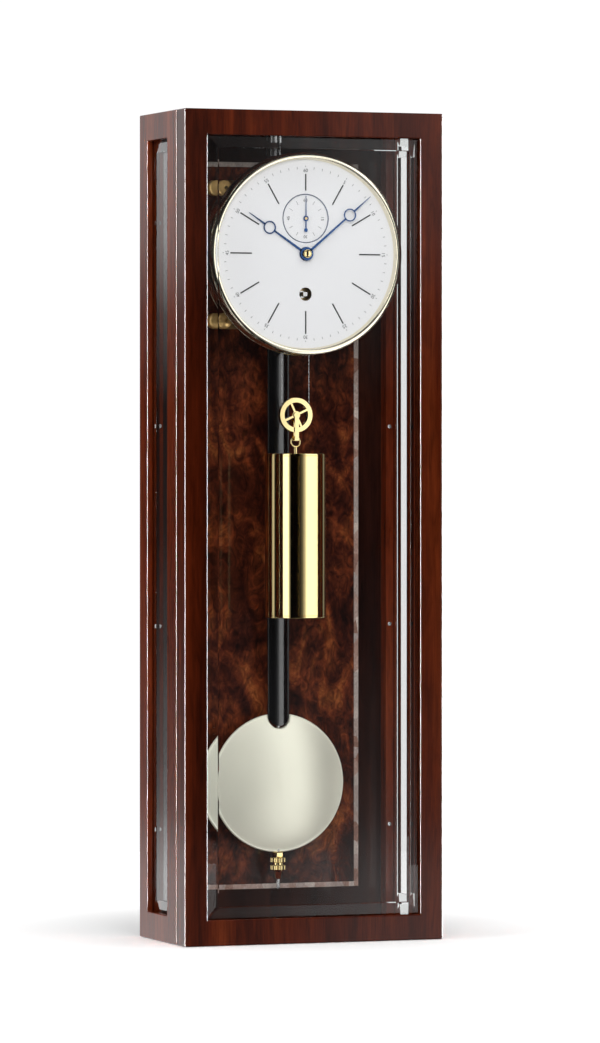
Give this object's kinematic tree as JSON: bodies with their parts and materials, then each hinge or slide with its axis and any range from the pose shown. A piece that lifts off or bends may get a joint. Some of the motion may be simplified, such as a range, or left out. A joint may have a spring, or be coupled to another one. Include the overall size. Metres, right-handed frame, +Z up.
{
  "type": "wall clock",
  "caption": "Weight-driven wall regulator clock: glazed walnut case with hinged door, round dial in a brass bezel, seconds sub-dial, pulley-hung brass weight and long lenticular pendulum.",
  "frame": {"origin": "centre of the keyhole's round entry in the hanger plate, on the plane of the wall", "axes": "+X to the right seen from the front, +Y into the wall along the hanger's hole, +Z up along the case"},
  "size_m": [0.3003, 0.148, 0.89],
  "materials": {
    "walnut_case": "satin lacquer",
    "walnut_door": "satin lacquer",
    "walnut_panel": "satin lacquer",
    "burl_veneer": "gloss lacquer",
    "shell_inlay": "polished shell",
    "clear_glass": "bevelled, polished",
    "polished_brass": "polished",
    "satin_brass": "brushed satin",
    "plate_brass": "satin",
    "blued_steel": "blued",
    "bright_steel": "polished",
    "black_lacquer": "gloss lacquer",
    "dial_white": "satin white",
    "black_paint": "black",
    "iron_core": "cast",
    "felt": "felt"
  },
  "bodies": {
    "case": {"side_frame_left": "walnut_case", "side_frame_right": "walnut_case", "end_boards": "walnut_case", "back_panel": "walnut_panel", "burl_panel": "burl_veneer", "inlay_band": "shell_inlay", "side_glass_left": "clear_glass", "side_glass_right": "clear_glass", "side_beads": "walnut_case", "case_screws": "bright_steel", "hanger_plate": "bright_steel", "wall_bumpers": "felt", "catch_magnet": "bright_steel", "hinge_case_leaves": "polished_brass", "front_plate": "plate_brass", "rear_plate": "plate_brass", "posts_and_pillars": "polished_brass", "post_knobs": "polished_brass", "suspension_bracket": "bright_steel", "dial": "dial_white", "subdial_ring": "bright_steel", "bezel": "polished_brass", "hour_bars": "black_paint", "cable_strands": "bright_steel"},
    "door": {"door_stiles": "walnut_door", "door_rails": "walnut_door", "door_glass": "clear_glass", "door_beads": "walnut_door", "hinge_door_leaves": "polished_brass", "catch_strike": "bright_steel"},
    "seconds": {"escape_wheel": "plate_brass", "seconds_hand": "blued_steel"},
    "third": {"third_wheel": "plate_brass"},
    "centre": {"centre_wheel": "plate_brass", "minute_hand": "blued_steel", "hand_cap": "polished_brass"},
    "intermediate": {"intermediate_wheel": "plate_brass"},
    "great": {"great_wheel": "plate_brass"},
    "click": {"click": "bright_steel"},
    "drum": {"cable_drum": "polished_brass", "winding_arbor": "bright_steel", "cable_coils": "bright_steel"},
    "minute_work": {"minute_wheel": "plate_brass"},
    "hour_work": {"hour_wheel": "plate_brass", "hour_hand": "blued_steel"},
    "pallets": {"pallet_anchor": "bright_steel", "crutch": "polished_brass"},
    "weight": {"weight_shell": "polished_brass", "weight_caps": "polished_brass", "weight_core": "iron_core", "weight_hook": "polished_brass", "pulley_stirrup": "polished_brass", "cable_in_pulley": "bright_steel"},
    "pulley": {"pulley": "polished_brass"},
    "pendulum": {"suspension_spring": "bright_steel", "pendulum_rod": "black_lacquer", "rating_screw": "bright_steel"},
    "bob": {"pendulum_bob": "satin_brass"},
    "rating_nut": {"rating_nut": "polished_brass"}
  },
  "joints": [
    {"name": "door_hinge", "type": "hinge", "parent": "case", "child": "door", "pos_m": [0.1503, -0.1212, -0.401], "axis": [0, 0, 1], "range_deg": [0, 110]},
    {"name": "seconds_spin", "type": "hinge", "parent": "case", "child": "seconds", "pos_m": [0, -0.09, -0.07], "axis": [0, 1, 0], "continuous": true},
    {"name": "third_spin", "type": "hinge", "parent": "case", "child": "third", "pos_m": [0.00845, -0.09, -0.08715], "axis": [0, 1, 0], "continuous": true},
    {"name": "minute_spin", "type": "hinge", "parent": "case", "child": "centre", "pos_m": [0, -0.09, -0.108], "axis": [0, 1, 0], "continuous": true},
    {"name": "intermediate_spin", "type": "hinge", "parent": "case", "child": "intermediate", "pos_m": [0.02528, -0.09, -0.11627], "axis": [0, 1, 0], "continuous": true},
    {"name": "great_wheel_spin", "type": "hinge", "parent": "case", "child": "great", "pos_m": [0, -0.09, -0.1513], "axis": [0, 1, 0], "continuous": true},
    {"name": "click_lift", "type": "hinge", "parent": "great", "child": "click", "pos_m": [0.0205, -0.081, -0.1513], "axis": [0, -1, 0], "range_deg": [0, 12], "stiffness_Nm_per_rad": 0.002},
    {"name": "minute_wheel_spin", "type": "hinge", "parent": "case", "child": "minute_work", "pos_m": [0.01081, -0.11, -0.11557], "axis": [0, 1, 0], "continuous": true},
    {"name": "hour_spin", "type": "hinge", "parent": "case", "child": "hour_work", "pos_m": [0, -0.11, -0.108], "axis": [0, 1, 0], "continuous": true},
    {"name": "weight_slide", "type": "slide", "parent": "case", "child": "weight", "axis": [0, 0, 1], "range_m": [-0.3, 0.06], "deforming": ["cable_strands"]},
    {"name": "pulley_spin", "type": "hinge", "parent": "weight", "child": "pulley", "pos_m": [0, -0.088, -0.2809], "axis": [0, 1, 0], "range_deg": [-225, 1115]},
    {"name": "drum_spin", "type": "hinge", "parent": "case", "child": "drum", "pos_m": [0, -0.088, -0.1513], "axis": [0, 1, 0], "range_deg": [-455, 2255]},
    {"name": "pendulum_swing", "type": "hinge", "parent": "case", "child": "pendulum", "pos_m": [0, -0.034, 0.012], "axis": [0, 1, 0], "range_deg": [-2.3, 2.3]},
    {"name": "pallet_rock", "type": "hinge", "parent": "case", "child": "pallets", "pos_m": [0, -0.07, -0.0444], "axis": [0, 1, 0], "range_deg": [-4.5, 4.5]},
    {"name": "bob_slide", "type": "slide", "parent": "pendulum", "child": "bob", "axis": [0, 0, 1], "range_m": [-0.0021, 0.0021]},
    {"name": "rating_nut_turn", "type": "hinge", "parent": "bob", "child": "rating_nut", "pos_m": [0, -0.034, -0.768], "axis": [0, 0, 1], "range_deg": [-1085, 1085]}
  ],
  "couplings": [
    {"joint": "third_spin", "follows": "seconds_spin", "ratio": -0.13333},
    {"joint": "minute_spin", "follows": "seconds_spin", "ratio": 0.016667},
    {"joint": "intermediate_spin", "follows": "seconds_spin", "ratio": -0.0044444},
    {"joint": "great_wheel_spin", "follows": "seconds_spin", "ratio": 0.0005556},
    {"joint": "minute_wheel_spin", "follows": "seconds_spin", "ratio": -0.0055556},
    {"joint": "hour_spin", "follows": "seconds_spin", "ratio": 0.0013889},
    {"joint": "pulley_spin", "follows": "weight_slide", "rad_per_m": -64.516},
    {"joint": "drum_spin", "follows": "weight_slide", "rad_per_m": -130.72},
    {"joint": "pallet_rock", "follows": "pendulum_swing", "ratio": 1.9156},
    {"joint": "rating_nut_turn", "follows": "bob_slide", "rad_per_m": 8976}
  ]
}
